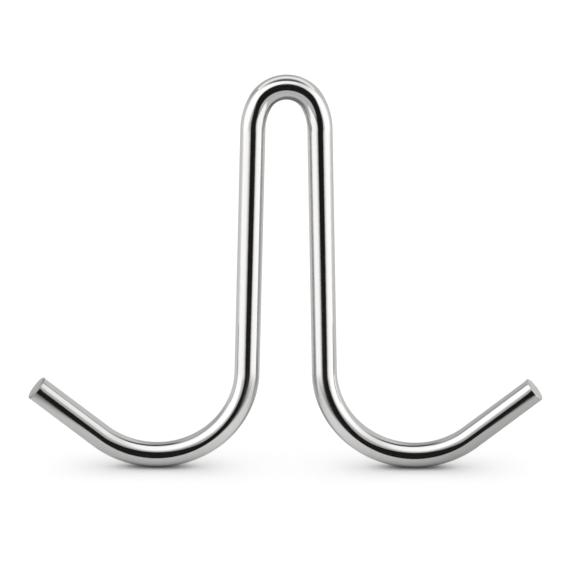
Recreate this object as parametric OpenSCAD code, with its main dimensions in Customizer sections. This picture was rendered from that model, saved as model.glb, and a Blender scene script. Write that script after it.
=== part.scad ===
// Pot rack hook. One round steel rod is bent cold in one plane: a narrow loop that
// hangs over the rack bar, two legs that lean slightly apart, and an open hook at
// the foot of each leg. The rod is then plated bright.
// The origin is where the inside of the loop sits on the bar. X is the hook's
// width, Y is through the plane of the bends and Z is up.

/* [Rod] */
// Diameter of the rod
rod_d = 6.35; // [4:0.05:8]
// Radius that the tumbler leaves on the edge of each cut end
edge_r = 0.4; // [0.1:0.05:1]

/* [Loop] */
// Bend radius of the crown, to the middle of the rod
crown_r = 7.2; // [6:0.1:12]
// Turn of the crown each side of its top, in degrees
crown_turn = 61.5; // [40:0.5:80]
// Bend radius of the shoulder, where the rod springs open past the former
shoulder_r = 15.5; // [8:0.5:30]
// Lean of each leg away from upright, in degrees
leg_lean = 1.2; // [0:0.1:5]
// Straight length of each leg
leg_run = 62.6; // [20:0.1:150]

/* [Hooks] */
// Bend radius of each hook, to the middle of the rod
hook_r = 22.3; // [12:0.1:40]
// Slope of each arm above level, in degrees
arm_rise = 38.4; // [15:0.1:60]
// Straight length of each arm, from the end of the bend to the cut face
arm_run = 20.2; // [8:0.1:50]

/* [Hidden] */
$fn = 64;

rod_r = rod_d / 2;

// The shoulder turns the rod from the end of the crown to the line of the leg,
// and the hook turns it from there, through level, up to the line of the arm.
shoulder_turn = 90 - leg_lean - crown_turn;
hook_turn = 90 - leg_lean + arm_rise;

// Everything below is drawn along +Z, the way the rod is fed. Each module ends by
// carrying its children to the end of its own length, facing along the rod there.

// A straight run of the rod
module run(length) {
    cylinder(r = rod_r, h = length);
    translate([0, 0, length]) children();
}

// A bend in the XZ plane, towards +X for a positive angle and -X for a negative one.
// It is half a ring, cut off square to the rod where the bend ends.
module bend(radius, angle) {
    side = sign(angle);
    ring_d = 2 * radius + rod_d;
    translate([side * radius, 0, 0]) {
        difference() {
            rotate([90, 0, 0])
                rotate_extrude(angle = 180)
                    translate([radius, 0])
                        circle(r = rod_r);
            rotate([0, angle, 0])
                translate([-ring_d, -rod_d, 0])
                    cube([2 * ring_d, 2 * rod_d, ring_d]);
        }
        rotate([0, angle, 0])
            translate([-side * radius, 0, 0])
                children();
    }
}

// The last straight run, cut square, with its sharp edge tumbled round
module cut_end(length) {
    rotate_extrude() {
        square([rod_r, length - edge_r]);
        square([rod_r - edge_r, length]);
        translate([rod_r - edge_r, length - edge_r])
            intersection() {
                circle(r = edge_r);
                square(edge_r);
            }
    }
}

// Half of the rod, from the top of the crown to the end of one arm
module half_rod() {
    translate([0, 0, rod_r])
        rotate([0, 90, 0])
            bend(crown_r, crown_turn)
                bend(shoulder_r, shoulder_turn)
                    run(leg_run)
                        bend(hook_r, -hook_turn)
                            cut_end(arm_run);
}

module hook() {
    color("silver") {
        half_rod();
        mirror([1, 0, 0]) half_rod();
    }
}

hook();
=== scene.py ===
# Pot rack hook: one round steel rod, bent cold in one plane into a narrow loop with
# an open hook at the foot of each leg, and chromium plated. It stands on its two
# hooks on a pale studio floor. Lengths are in metres, in the CAD's frame: the origin
# is the seat on the rack bar, X is the width and Z is up.
import math

import bpy
from mathutils import Matrix, Vector


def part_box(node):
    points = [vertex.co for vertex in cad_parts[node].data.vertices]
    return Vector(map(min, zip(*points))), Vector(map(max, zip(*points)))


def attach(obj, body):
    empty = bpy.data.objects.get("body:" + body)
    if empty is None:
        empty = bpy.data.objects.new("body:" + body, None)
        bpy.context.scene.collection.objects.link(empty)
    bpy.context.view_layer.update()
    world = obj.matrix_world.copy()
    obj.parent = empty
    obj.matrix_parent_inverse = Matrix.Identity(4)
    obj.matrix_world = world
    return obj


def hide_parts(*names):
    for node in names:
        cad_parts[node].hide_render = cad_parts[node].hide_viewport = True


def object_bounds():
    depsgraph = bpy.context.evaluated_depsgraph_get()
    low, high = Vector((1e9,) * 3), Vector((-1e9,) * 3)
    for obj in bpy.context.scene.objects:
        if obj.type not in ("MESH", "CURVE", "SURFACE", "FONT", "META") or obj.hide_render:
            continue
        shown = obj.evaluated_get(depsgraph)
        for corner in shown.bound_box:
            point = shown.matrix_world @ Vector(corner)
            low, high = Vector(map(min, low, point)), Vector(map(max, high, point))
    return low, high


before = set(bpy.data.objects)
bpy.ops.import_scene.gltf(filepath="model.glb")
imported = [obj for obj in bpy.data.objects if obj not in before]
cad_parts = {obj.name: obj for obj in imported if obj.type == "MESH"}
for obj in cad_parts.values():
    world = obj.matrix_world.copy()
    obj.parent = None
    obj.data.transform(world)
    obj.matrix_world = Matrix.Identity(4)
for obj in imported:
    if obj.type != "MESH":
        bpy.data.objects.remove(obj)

cad_low, cad_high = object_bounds()

# ---------------------------------------------------------------------------
# The rod. One length of quarter-inch round mild steel is fed through a bender:
# crown, shoulder, leg, hook and arm on each side, and nothing is joined on.
# Both ends are cropped square and tumbled, so their edges are slightly round.
# ---------------------------------------------------------------------------
MM = 0.001
rod_low, rod_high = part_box("hook")
rod_r = (rod_high.y - rod_low.y) / 2
leg_run = 62.6 * MM
arm_run = 20.2 * MM
edge_r = 0.4 * MM

# The lean of a leg and the rise of an arm, in degrees. Each bend has a radius, to the
# middle of the rod, and a turn in degrees, which is downwards where it is positive.
leg_lean = 1.2
arm_rise = 38.4
crown_bend = (7.2 * MM, 61.5)
shoulder_bend = (15.5 * MM, 90 - leg_lean - crown_bend[1])
hook_bend = (22.3 * MM, -(90 - leg_lean + arm_rise))

# The mesh has this many facets round the rod. Its rings lie this far apart, in degrees
# in a bend and in metres on a straight, and this many make an edge and a cut face.
FACETS = 96
BEND_STEP = 1.5
RUN_STEP = 2.0 * MM
EDGE_RINGS = 6
FACE_RINGS = 10


def heading(turned):
    """The way that the rod runs after turning down by so many degrees."""
    a = math.radians(turned)
    return Vector((math.cos(a), 0, -math.sin(a)))


def across(turned):
    """Square to the rod, in the plane of the bends, on the outside of the crown."""
    a = math.radians(turned)
    return Vector((math.sin(a), 0, math.cos(a)))


def feed_run(route, length):
    """Feeds a straight length of rod on to the end of the route."""
    start, turned = route[-1]
    steps = math.ceil(length / RUN_STEP)
    for n in range(1, steps + 1):
        route.append((start + heading(turned) * length * n / steps, turned))


def feed_bend(route, bend):
    """Bends the rod round a former, on from the end of the route."""
    radius, angle = bend
    start, turned = route[-1]
    side = math.copysign(radius, angle)
    centre = start - across(turned) * side
    steps = math.ceil(abs(angle) / BEND_STEP)
    for n in range(1, steps + 1):
        now = turned + angle * n / steps
        route.append((centre + across(now) * side, now))


right_half = [(Vector((0, 0, rod_high.z - rod_r)), 0)]
feed_bend(right_half, crown_bend)
feed_bend(right_half, shoulder_bend)
feed_run(right_half, leg_run)
feed_bend(right_half, hook_bend)
feed_run(right_half, arm_run - edge_r)
left_half = [(Vector((-p.x, p.y, p.z)), -turned) for p, turned in right_half[:0:-1]]
stations = [(p, turned, rod_r) for p, turned in left_half + right_half]


def cut_end(end, turned, outwards):
    """Rings of a cut end: the tumbled edge, then the face in to its middle."""
    rings = []
    way = heading(turned) * outwards
    for n in range(1, EDGE_RINGS + 1):
        a = math.radians(90 * n / EDGE_RINGS)
        ring_r = rod_r - edge_r + edge_r * math.cos(a)
        rings.append((end + way * edge_r * math.sin(a), turned, ring_r))
    for n in range(1, FACE_RINGS):
        ring_r = (rod_r - edge_r) * (1 - n / FACE_RINGS)
        rings.append((end + way * edge_r, turned, ring_r))
    return rings


right_end = cut_end(*right_half[-1], 1)
left_end = cut_end(*left_half[0], -1)
rings = left_end[::-1] + stations + right_end

verts = []
for centre, turned, ring_r in rings:
    for n in range(FACETS):
        a = 2 * math.pi * n / FACETS
        out = Vector((0, math.cos(a), 0)) + across(turned) * math.sin(a)
        verts.append(centre + out * ring_r)
left_tip = len(verts)
verts.append(left_end[-1][0])
right_tip = len(verts)
verts.append(right_end[-1][0])

faces = []
for k in range(len(rings) - 1):
    here = k * FACETS
    ahead = here + FACETS
    for n in range(FACETS):
        m = (n + 1) % FACETS
        faces.append((here + m, ahead + m, ahead + n, here + n))
last = (len(rings) - 1) * FACETS
for n in range(FACETS):
    m = (n + 1) % FACETS
    faces.append((left_tip, m, n))
    faces.append((right_tip, last + n, last + m))

rod_mesh = bpy.data.meshes.new("bent_rod")
rod_mesh.from_pydata(verts, [], faces)
rod_mesh.update()
rod_mesh.polygons.foreach_set("use_smooth", [True] * len(faces))

# Each corner's place on the rod: how far round it, from the back, and how far along it
wrap = rod_mesh.uv_layers.new(name="rod_wrap")
along = [0.0]
for k in range(1, len(rings)):
    gap = (rings[k][0] - rings[k - 1][0]).length
    along.append(along[-1] + gap + abs(rings[k][2] - rings[k - 1][2]))
rod_length = along[-1]
for face in rod_mesh.polygons:
    corners = [rod_mesh.loops[loop].vertex_index for loop in face.loop_indices]
    at_seam = any(v < left_tip and v % FACETS == FACETS - 1 for v in corners)
    for loop, v in zip(face.loop_indices, corners):
        if v >= left_tip:
            wrap.data[loop].uv = (0.5, float(v == right_tip))
            continue
        round_it = (v % FACETS) / FACETS
        if at_seam and round_it == 0:
            round_it = 1.0
        wrap.data[loop].uv = (round_it, along[v // FACETS] / rod_length)


def placed(name, data):
    """Puts a mesh or a camera in the scene, as an object of its own."""
    made = bpy.data.objects.new(name, data)
    bpy.context.scene.collection.objects.link(made)
    return made


rod = placed("bent_plated_rod", rod_mesh)


def linear(hex_colour):
    """An sRGB hex colour as Blender's linear colour."""
    out = []
    for n in (0, 2, 4):
        c = int(hex_colour[n:n + 2], 16) / 255
        out.append(c / 12.92 if c <= 0.04045 else ((c + 0.055) / 1.055) ** 2.4)
    return (*out, 1.0)


def bare_tree(owner):
    """The node tree of a material or a world, with nothing in it yet."""
    owner.use_nodes = True
    owner.node_tree.nodes.clear()
    return owner.node_tree


def node(tree, kind, inputs=None, **settings):
    """Adds a node to tree with its settings, its input values and its links."""
    made = tree.nodes.new(kind)
    for name, value in settings.items():
        setattr(made, name, value)
    for name, value in (inputs or {}).items():
        if isinstance(value, bpy.types.NodeSocket):
            tree.links.new(value, made.inputs[name])
        else:
            made.inputs[name].default_value = value
    return made


# Chromium plate on drawn and polished rod: a hard mirror that gives back a little over
# half of the light, and no more of it at the rim. Polishing leaves a slight haze, the
# drawing dies leave faint lines along the rod, and the cold bends leave a soft ripple.
# The lines are about 0.3 mm apart, which is as coarse as they need to be to show, and
# each runs for some 30 mm. The ripple is some 2.5 mm from crest to crest.
chrome = linear("C5C4C3")
chrome_rim = linear("DDDDDD")
haze_least = 0.05
haze_most = 0.12
line_gap = 0.3 * MM
line_run = 30 * MM
line_depth = 0.0012 * MM
ripple_gap = 2.5 * MM
ripple_depth = 0.008 * MM
plate = bpy.data.materials.new("chromium_plate_on_polished_rod")
tree = bare_tree(plate)
place = node(tree, "ShaderNodeTexCoord").outputs
wrapped = node(tree, "ShaderNodeSeparateXYZ", {0: place["UV"]}).outputs
round_it = node(tree, "ShaderNodeMath", {
    0: wrapped["X"], 1: 2 * math.pi}, operation="MULTIPLY").outputs[0]
# The lines are laid on a drum, so that they have no seam.
drum = node(tree, "ShaderNodeCombineXYZ", {
    "X": node(tree, "ShaderNodeMath", {0: round_it}, operation="COSINE").outputs[0],
    "Y": node(tree, "ShaderNodeMath", {0: round_it}, operation="SINE").outputs[0],
    "Z": node(tree, "ShaderNodeMath", {
        0: wrapped["Y"], 1: rod_length / line_run * line_gap / rod_r},
        operation="MULTIPLY").outputs[0]}).outputs[0]
lines = node(tree, "ShaderNodeTexNoise", {
    "Vector": drum, "Scale": rod_r / line_gap, "Detail": 2.0}).outputs["Fac"]
ripple = node(tree, "ShaderNodeTexNoise", {
    "Vector": place["Object"], "Scale": 1 / ripple_gap, "Detail": 1.0}).outputs["Fac"]
haze = node(tree, "ShaderNodeMapRange", {
    "Value": lines, "From Min": 0.3, "From Max": 0.7,
    "To Min": haze_least, "To Max": haze_most})
rippled = node(tree, "ShaderNodeBump", {
    "Height": ripple, "Strength": 1.0, "Distance": ripple_depth})
lined = node(tree, "ShaderNodeBump", {
    "Height": lines, "Strength": 1.0, "Distance": line_depth,
    "Normal": rippled.outputs["Normal"]})
shader = node(tree, "ShaderNodeBsdfPrincipled", {
    "Base Color": chrome, "Metallic": 1.0, "Specular Tint": chrome_rim,
    "Roughness": haze.outputs["Result"], "Normal": lined.outputs["Normal"]})
node(tree, "ShaderNodeOutputMaterial", {"Surface": shader.outputs["BSDF"]})
rod_mesh.materials.append(plate)

# The same plate over the cropped ends. The shears leave fine marks across the face, so
# it looks matt. The left end's plate is painted greyer and darker than the right's, as
# painted shade. The marks are about 0.5 mm apart, where a real shear's are finer than
# would show.
shaded_left_end_chrome = linear("A2A19F")
right_chrome = linear("CDCCCA")
darkest_mark = 0.86
matt = 0.45
mark_gap = 0.5 * MM
mark_depth = 0.03 * MM
torn = bpy.data.materials.new("chromium_plate_on_sheared_end")
tree = bare_tree(torn)
place = node(tree, "ShaderNodeTexCoord").outputs
marks = node(tree, "ShaderNodeTexNoise", {
    "Vector": node(tree, "ShaderNodeMapping", {
        "Vector": place["Object"], "Scale": (1.0, 0.25, 1.0)}).outputs[0],
    "Scale": 1 / mark_gap, "Detail": 3.0}).outputs["Fac"]
relief = node(tree, "ShaderNodeBump", {
    "Height": marks, "Strength": 1.0, "Distance": mark_depth})
on_right = node(tree, "ShaderNodeMath", {
    0: node(tree, "ShaderNodeSeparateXYZ", {0: place["Object"]}).outputs["X"], 1: 0.0},
    operation="GREATER_THAN")
# Painted shade: the left end gets the darker colour and the right end the lighter one.
end_tone_with_painted_shade = node(tree, "ShaderNodeMix", {
    0: on_right.outputs[0], 6: shaded_left_end_chrome, 7: right_chrome}, data_type="RGBA")
mottle = node(tree, "ShaderNodeMapRange", {
    "Value": marks, "From Min": 0.35, "From Max": 0.65,
    "To Min": darkest_mark, "To Max": 1.0})
mottled_with_painted_shade = node(tree, "ShaderNodeVectorMath", {
    0: end_tone_with_painted_shade.outputs[2], "Scale": mottle.outputs["Result"]}, operation="SCALE")
shader = node(tree, "ShaderNodeBsdfPrincipled", {
    "Base Color": mottled_with_painted_shade.outputs[0], "Metallic": 1.0, "Specular Tint": chrome_rim,
    "Roughness": matt, "Normal": relief.outputs["Normal"]})
node(tree, "ShaderNodeOutputMaterial", {"Surface": shader.outputs["BSDF"]})
rod_mesh.materials.append(torn)
end_rings = EDGE_RINGS + FACE_RINGS - 1
for k, face in enumerate(rod_mesh.polygons):
    ring = k // FACETS
    if ring < end_rings or ring >= len(rings) - 1 - end_rings:
        face.material_index = 1

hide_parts("hook")
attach(rod, "root")

# ---------------------------------------------------------------------------
# The studio floor. A sheet of pale matt board that the two hooks stand on. It
# takes their soft shadow, and the plate mirrors the nearest part of it.
# ---------------------------------------------------------------------------
floor_half = 9.0
floor_z = cad_low.z


def sheet(name, corners):
    """A flat sheet on four corners, which run anticlockwise as its face is seen."""
    mesh = bpy.data.meshes.new(name)
    mesh.from_pydata(corners, [], [(0, 1, 2, 3)])
    return placed(name, mesh)


floor = sheet("studio_floor", [
    (-floor_half, -floor_half, floor_z), (floor_half, -floor_half, floor_z),
    (floor_half, floor_half, floor_z), (-floor_half, floor_half, floor_z)])

# Pale board with a matt face, which scatters the light evenly, and a slight sheen, which
# shows only at a low angle.
board_white = linear("FAFAFA")
mirrored_white = linear("F8F8F8")
board = bpy.data.materials.new("pale_matt_board")
tree = bare_tree(board)
ray = node(tree, "ShaderNodeLightPath").outputs
spot = node(tree, "ShaderNodeTexCoord").outputs["Object"]
at = node(tree, "ShaderNodeSeparateXYZ", {0: spot}).outputs
corner = node(tree, "ShaderNodeMath", {0: at["X"], 1: at["Y"]}, operation="ADD").outputs[0]
off_centre = node(tree, "ShaderNodeMath", {0: at["X"]}, operation="ABSOLUTE").outputs[0]

# As the plate sees the board, its colour is painted with shade at its far front, taken for
# the shade of the dark opening, and at its front left corner and its right end. A shade
# has what it is measured by, where it starts and ends by that in millimetres, and the
# light that is left at either end.
shades = (
    (at["Y"], -40, -20, 0.15, 1.0),
    (corner, -96, -68, 0.60, 1.0),
    (at["X"], 22, 44, 1.0, 0.80),
)
level = 1.0
for measure, start, end, at_start, at_end in shades:
    shade = node(tree, "ShaderNodeMapRange", {
        "Value": measure, "From Min": start * MM, "From Max": end * MM,
        "To Min": at_start, "To Max": at_end}, interpolation_type="SMOOTHSTEP")
    level = node(tree, "ShaderNodeMath", {
        0: level, 1: shade.outputs["Result"]}, operation="MULTIPLY").outputs[0]

# Between the two hooks its colour is painted brightest in front of the rod and darkest
# behind it, as painted light and shade.
front_painted_light = 0.28
back_painted_shade = -0.40
between = node(tree, "ShaderNodeMapRange", {
    "Value": off_centre, "From Min": 4 * MM, "From Max": 32 * MM,
    "To Min": 1.0, "To Max": 0.0}, interpolation_type="SMOOTHSTEP")
gain = node(tree, "ShaderNodeMapRange", {
    "Value": at["Y"], "From Min": -3 * MM, "From Max": 10 * MM,
    "To Min": front_painted_light, "To Max": back_painted_shade}, interpolation_type="SMOOTHSTEP")
gained = node(tree, "ShaderNodeMath", {
    0: between.outputs["Result"], 1: gain.outputs["Result"], 2: 1.0},
    operation="MULTIPLY_ADD")
level = node(tree, "ShaderNodeMath", {
    0: level, 1: gained.outputs[0]}, operation="MULTIPLY").outputs[0]
# The board's white as the plate sees it, times the painted light and shade.
tone = node(tree, "ShaderNodeVectorMath", {
    0: mirrored_white[:3], "Scale": level}, operation="SCALE")
toned = node(tree, "ShaderNodeMix", {
    0: ray["Is Glossy Ray"], 6: board_white, 7: tone.outputs[0]}, data_type="RGBA")

# Its colour is painted darker in the narrow gap close under the rod, as painted shade on
# top of the real shadow there. In front of the lens it is lifted to a clean white, except
# in that gap.
gap_reach = 8 * MM
gap_light = 0.35
lens_lift = 0.12
openness = node(tree, "ShaderNodeAmbientOcclusion", {
    "Distance": gap_reach}, samples=8).outputs["AO"]
gap = node(tree, "ShaderNodeMapRange", {
    "Value": openness, "From Min": 0.10, "From Max": 0.45,
    "To Min": gap_light, "To Max": 1.0})
# Painted shade: the board's colour is scaled down in the gap under the rod.
gap_with_painted_shade = node(tree, "ShaderNodeVectorMath", {
    0: toned.outputs[2], "Scale": gap.outputs["Result"]}, operation="SCALE")
paper = node(tree, "ShaderNodeBsdfDiffuse", {"Color": gap_with_painted_shade.outputs[0]})
lifted = node(tree, "ShaderNodeMath", {0: openness, 1: lens_lift}, operation="MULTIPLY")
to_lens = node(tree, "ShaderNodeMath", {
    0: ray["Is Camera Ray"], 1: lifted.outputs[0]}, operation="MULTIPLY")
lift = node(tree, "ShaderNodeEmission", {"Strength": to_lens.outputs[0]})
lit = node(tree, "ShaderNodeAddShader", {0: paper.outputs[0], 1: lift.outputs[0]})

# The plate mirrors only the near part of the board, and past that it mirrors the room.
# The sheen lets it mirror the room at a low angle too.
fade_from = 28 * MM
fade_to = 76 * MM
sheen_from = math.radians(23)
sheen_full = math.radians(19)
past = node(tree, "ShaderNodeMapRange", {
    "Value": ray["Ray Length"], "From Min": fade_from, "From Max": fade_to})
sheen = node(tree, "ShaderNodeMapRange", {
    "Value": node(tree, "ShaderNodeLayerWeight", {"Blend": 0.5}).outputs["Facing"],
    "From Min": 1 - math.sin(sheen_from), "From Max": 1 - math.sin(sheen_full)})
either = node(tree, "ShaderNodeMath", {
    0: past.outputs["Result"], 1: sheen.outputs["Result"]}, operation="MAXIMUM")
let_through = node(tree, "ShaderNodeMath", {
    0: either.outputs[0], 1: ray["Is Glossy Ray"]}, operation="MULTIPLY")
clear = node(tree, "ShaderNodeBsdfTransparent")
shown = node(tree, "ShaderNodeMixShader", {
    0: let_through.outputs[0], 1: lit.outputs[0], 2: clear.outputs[0]})
node(tree, "ShaderNodeOutputMaterial", {"Surface": shown.outputs[0]})
floor.data.materials.append(board)

# ---------------------------------------------------------------------------
# The flag. A small white card with a soft dark streak across it, held close above the
# crown. The plate there mirrors it, as a dark line along the top of the rod with a pale
# one behind it, and nothing else sees it.
# ---------------------------------------------------------------------------
flag_x = (-32 * MM, 32 * MM)
flag_y = (-7.6 * MM, 8.5 * MM)
flag_z = cad_high.z + 13 * MM
flag = sheet("streaked_flag", [
    (flag_x[0], flag_y[0], flag_z), (flag_x[0], flag_y[1], flag_z),
    (flag_x[1], flag_y[1], flag_z), (flag_x[1], flag_y[0], flag_z)])
card_reach = 40 * MM


def from_middle(tree, middle, size):
    """How far a spot on a sheet is from the middle of an oval, which is 1 at its edge."""
    spot = node(tree, "ShaderNodeTexCoord").outputs["Object"]
    local = node(tree, "ShaderNodeMapping", {
        "Vector": spot, "Location": middle, "Scale": size}, vector_type="TEXTURE")
    return node(tree, "ShaderNodeVectorMath", {
        0: local.outputs[0]}, operation="LENGTH").outputs["Value"]


def light_card(tree, brightness, held):
    """Shows a card where held is 1, to the plate within its reach and to nothing else."""
    ray = node(tree, "ShaderNodeLightPath").outputs
    near = node(tree, "ShaderNodeMath", {
        0: ray["Ray Length"], 1: card_reach}, operation="LESS_THAN")
    there = node(tree, "ShaderNodeMath", {
        0: near.outputs[0], 1: ray["Is Glossy Ray"]}, operation="MULTIPLY")
    shown = node(tree, "ShaderNodeMath", {
        0: there.outputs[0], 1: held}, operation="MULTIPLY")
    clear = node(tree, "ShaderNodeBsdfTransparent")
    glow = node(tree, "ShaderNodeEmission", {
        "Color": linear("FFFFFF"), "Strength": brightness})
    mixed = node(tree, "ShaderNodeMixShader", {
        0: shown.outputs[0], 1: clear.outputs[0], 2: glow.outputs[0]})
    node(tree, "ShaderNodeOutputMaterial", {"Surface": mixed.outputs[0]})


# White card with the streak sprayed on, so that its edges are soft. Its white is its own
# glow, painted light that stands in for a strong lamp on it.
streak_middle = (1 * MM, -3.7 * MM, flag_z)
streak_size = (28 * MM, 5.2 * MM, 1)
sprayed_dark = 0.16
# Painted light: how brightly the card glows, with no lamp on it.
card_glow_painted_light = 1.45
card = bpy.data.materials.new("white_card_with_dark_streak")
tree = bare_tree(card)
streak = node(tree, "ShaderNodeMapRange", {
    "Value": from_middle(tree, streak_middle, streak_size),
    "From Min": 0.25, "From Max": 1.15,
    "To Min": sprayed_dark, "To Max": card_glow_painted_light}, interpolation_type="SMOOTHSTEP")
light_card(tree, streak.outputs["Result"], 1.0)
flag.data.materials.append(card)

# ---------------------------------------------------------------------------
# The black card. An oval of card covered in black velvet, held close in front of the
# crown. The plate there mirrors it, as a wider and higher part of the dark opening with
# a pale gap at its foot. It is in the way of the lens, so nothing else sees it either.
# ---------------------------------------------------------------------------
black_x = (-30 * MM, 32 * MM)
black_y = -16 * MM
black_z = (-10 * MM, 22 * MM)
black = sheet("black_card", [
    (black_x[0], black_y, black_z[0]), (black_x[1], black_y, black_z[0]),
    (black_x[1], black_y, black_z[1]), (black_x[0], black_y, black_z[1])])

# Velvet on card: it gives back next to no light. The gap at its foot is bare card, which
# glows pale on its own, as painted light.
velvet_black = 0.016
# Painted light: the glow of the bare card in the gap.
bare_card_glow = 0.78
velvet = bpy.data.materials.new("black_velvet_on_card")
tree = bare_tree(velvet)


def oval(x, z, half_wide, half_high, soft):
    """A soft oval on the black card, in millimetres: 1 well inside it and 0 outside."""
    away = from_middle(
        tree, (x * MM, black_y, z * MM), (half_wide * MM, 1, half_high * MM))
    return node(tree, "ShaderNodeMapRange", {
        "Value": away, "From Min": 1 - soft / 2, "From Max": 1 + soft / 2,
        "To Min": 1.0, "To Max": 0.0}, interpolation_type="SMOOTHSTEP").outputs["Result"]


dark = oval(1.7, 3.5, 19.4, 13.5, 0.24)
pale = oval(1.2, -4.9, 6, 4.9, 0.35)
held = node(tree, "ShaderNodeMath", {0: dark, 1: pale}, operation="MAXIMUM")
tone = node(tree, "ShaderNodeMix", {
    0: pale, 2: velvet_black, 3: bare_card_glow}, data_type="FLOAT")
light_card(tree, tone.outputs[0], held.outputs[0])
black.data.materials.append(velvet)

# ---------------------------------------------------------------------------
# The studio, which is a guess. White walls all round, a large softbox on each side,
# a lamp panel overhead and the dark opening in front that the camera looks through.
# The plate mirrors them, and everything else is lit by plain even white.
# ---------------------------------------------------------------------------
world = bpy.data.worlds.new("photo_studio")
bpy.context.scene.world = world
tree = bare_tree(world)
way = node(tree, "ShaderNodeTexCoord").outputs["Generated"]


def panel(light, brightness, turn, rise, wide, high, tilt, soft):
    """Lays a soft oval over the light, facing the hook from a turn and a rise in degrees."""
    facing = (
        Matrix.Rotation(math.radians(turn), 3, "Z")
        @ Matrix.Rotation(math.radians(-rise), 3, "X")
        @ Matrix.Rotation(math.radians(-tilt), 3, "Y")).to_euler()
    size = (math.sin(math.radians(wide)), 1.0, math.sin(math.radians(high)))
    local = node(tree, "ShaderNodeMapping", {
        "Vector": way, "Rotation": facing, "Scale": size}, vector_type="TEXTURE").outputs[0]
    flat = node(tree, "ShaderNodeVectorMath", {0: local, 1: (1, 0, 1)}, operation="MULTIPLY")
    off = node(tree, "ShaderNodeVectorMath", {0: flat.outputs[0]}, operation="LENGTH")
    inside = node(tree, "ShaderNodeMapRange", {
        "Value": off.outputs["Value"], "From Min": 1 - soft / 2, "From Max": 1 + soft / 2,
        "To Min": 1.0, "To Max": 0.0}, interpolation_type="SMOOTHSTEP")
    ahead = node(tree, "ShaderNodeMath", {
        0: node(tree, "ShaderNodeSeparateXYZ", {0: local}).outputs["Y"], 1: 0.0},
        operation="LESS_THAN")
    here = node(tree, "ShaderNodeMath", {
        0: inside.outputs["Result"], 1: ahead.outputs[0]}, operation="MULTIPLY")
    laid = node(tree, "ShaderNodeMix", {
        0: here.outputs[0], 2: light, 3: brightness}, data_type="FLOAT")
    return laid.outputs[0]


# Each oval in the room has a brightness, then its turn to the right of straight in front,
# its rise, its half width, its half height and its tilt, all in degrees, and the softness
# of its edge. Most of these numbers weren't chosen: 67 of the 119 in walls and fittings,
# and the three for the table's edge and the floor, are the rounded result of another
# program's least-squares fit. The names only say what each oval is taken for. The walls
# and the lamps come first, on plain white.
walls = (
    (0.63, -138, 41, 50, 39, 20, 0.46),   # rear ceiling, left
    (0.90, 112, 31, 31, 28, -6, 0.60),    # rear ceiling, right
    (1.87, 189, -5, 28, 29, -7, 0.50),    # lit backdrop
    (1.70, 5, 55, 47, 35, -23, 0.20),     # overhead lamp
    (1.35, 62, 42, 26, 16, -20, 0.80),    # its dimmer right end
    (0.10, 168, 77, 45, 9, 3, 0.70),      # gap behind the lamp
    (1.85, -62, 17, 30, 53, -15, 0.50),   # left softbox
    (1.80, 76, -8, 29, 44, 8, 0.50),      # right softbox
)
light = 1.0
for wall in walls:
    light = panel(light, *wall)

# Below the table's edge the room is floor.
table_edge = math.sin(math.radians(-32))
edge_soft = 0.036
room_floor = 0.82
below = node(tree, "ShaderNodeMapRange", {
    "Value": node(tree, "ShaderNodeSeparateXYZ", {0: way}).outputs["Z"],
    "From Min": table_edge - edge_soft, "From Max": table_edge + edge_soft,
    "To Min": 1.0, "To Max": 0.0}, interpolation_type="SMOOTHSTEP")
light = node(tree, "ShaderNodeMix", {
    0: below.outputs["Result"], 2: light, 3: room_floor}, data_type="FLOAT").outputs[0]

# What lies on that floor or stands in front of the walls comes last.
fittings = (
    (0.28, 190, -76, 52, 26, -20, 0.35),  # floor's far shade
    (1.68, -48, -26, 29, 10, -3, 0.30),   # left softbox on the floor
    (1.69, 48, -30, 34, 13, -4, 0.35),    # right softbox on the floor
    (0.45, -99, -27, 24, 8, 5, 0.33),     # left softbox's foot
    (0.45, 108, -27, 20, 9, -9, 0.36),    # right softbox's foot
    (0.78, -129, 40, 12, 23, -11, 0.80),  # stand by the left wall
    (0.68, 5, 8, 41, 39, 0, 0.38),        # dim edge of the opening
    (0.016, 2, 15, 20, 21, 0, 0.20),      # the opening's upper part
    (0.016, 6, -5, 32, 20, 0, 0.18),      # the opening's lower part
)
for fitting in fittings:
    light = panel(light, *fitting)

room = node(tree, "ShaderNodeBackground", {"Color": linear("FFFFFF"), "Strength": light})
even = node(tree, "ShaderNodeBackground", {"Color": linear("FFFFFF"), "Strength": 1.0})
ray = node(tree, "ShaderNodeLightPath").outputs
mirrored = node(tree, "ShaderNodeMath", {
    0: ray["Is Glossy Ray"], 1: ray["Is Transmission Ray"]}, operation="MAXIMUM")
seen = node(tree, "ShaderNodeMixShader", {
    0: mirrored.outputs[0], 1: even.outputs[0], 2: room.outputs[0]})
node(tree, "ShaderNodeOutputWorld", {"Surface": seen.outputs[0]})

# ---------------------------------------------------------------------------
# The camera. A long lens on a stand in front of the hook, square to the plane of the
# bends and looking down on it.
# ---------------------------------------------------------------------------
aim = Vector((0.54, 0, -48.69)) * MM
distance = 2.857
look_down = math.radians(18.85)
roll = math.radians(0.171)
look = Vector((0, math.cos(look_down), -math.sin(look_down)))
side = Vector((1, 0, 0))
top = side.cross(look)
upright = Matrix((side, top, -look)).transposed()
stance = (Matrix.Rotation(-roll, 3, look) @ upright).to_4x4()

cam_data = bpy.data.cameras.new("studio_camera")
cam_data.sensor_width = 36.0
cam_data.lens = 727.3
cam_data.clip_start = 0.1
cam_data.clip_end = 50.0
camera = placed("studio_camera", cam_data)
camera.matrix_world = Matrix.Translation(aim - look * distance) @ stance
bpy.context.scene.camera = camera

bpy.context.scene.view_settings.view_transform = "Standard"
